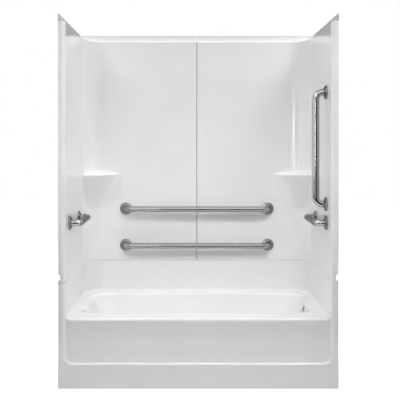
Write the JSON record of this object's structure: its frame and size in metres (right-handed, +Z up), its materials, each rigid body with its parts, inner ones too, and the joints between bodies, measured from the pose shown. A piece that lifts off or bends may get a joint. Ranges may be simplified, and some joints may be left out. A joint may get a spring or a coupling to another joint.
{
  "type": "tub and shower unit",
  "caption": "White moulded alcove bath tub with two wall panels, corner shelves and stainless grab bars.",
  "frame": {"origin": "on the floor, under the middle of the unit in width and depth", "axes": "+X runs along the unit to the drain end, which is on the right from the front; +Y runs from the open front to the back wall; +Z is up"},
  "size_m": [1.524, 0.838, 2.035],
  "materials": {
    "gelcoat": "glossy white gelcoat over a glass-fibre laminate",
    "steel": "satin-brushed stainless tube and plates",
    "cover": "pressed and brushed stainless cover",
    "screw": "plain stainless screw",
    "board": "raw plywood under laminating resin",
    "runner": "sawn softwood",
    "gasket": "matt grey butyl strip"
  },
  "bodies": {
    "root": {"tub": "gelcoat", "left_wall_panel": "gelcoat", "right_wall_panel": "gelcoat", "back_upper_bar": "steel", "back_upper_cover_1": "cover", "back_upper_cover_2": "cover", "back_upper_screw_1": "screw", "back_upper_screw_2": "screw", "back_upper_screw_3": "screw", "back_upper_screw_4": "screw", "back_upper_screw_5": "screw", "back_upper_screw_6": "screw", "back_lower_bar": "steel", "back_lower_cover_1": "cover", "back_lower_cover_2": "cover", "back_lower_screw_1": "screw", "back_lower_screw_2": "screw", "back_lower_screw_3": "screw", "back_lower_screw_4": "screw", "back_lower_screw_5": "screw", "back_lower_screw_6": "screw", "left_bar": "steel", "left_cover_1": "cover", "left_cover_2": "cover", "left_screw_1": "screw", "left_screw_2": "screw", "left_screw_3": "screw", "left_screw_4": "screw", "left_screw_5": "screw", "left_screw_6": "screw", "right_bar": "steel", "right_cover_1": "cover", "right_cover_2": "cover", "right_screw_1": "screw", "right_screw_2": "screw", "right_screw_3": "screw", "right_screw_4": "screw", "right_screw_5": "screw", "right_screw_6": "screw", "upright_bar": "steel", "upright_cover_1": "cover", "upright_cover_2": "cover", "upright_screw_1": "screw", "upright_screw_2": "screw", "upright_screw_3": "screw", "upright_screw_4": "screw", "upright_screw_5": "screw", "upright_screw_6": "screw", "left_back_board": "board", "right_back_board": "board", "left_side_board": "board", "right_side_board": "board", "upright_board": "board", "floor_board": "board", "front_runner": "runner", "back_runner": "runner", "tub_seam_gasket": "gasket", "centre_seam_gasket": "gasket"}
  },
  "joints": []
}
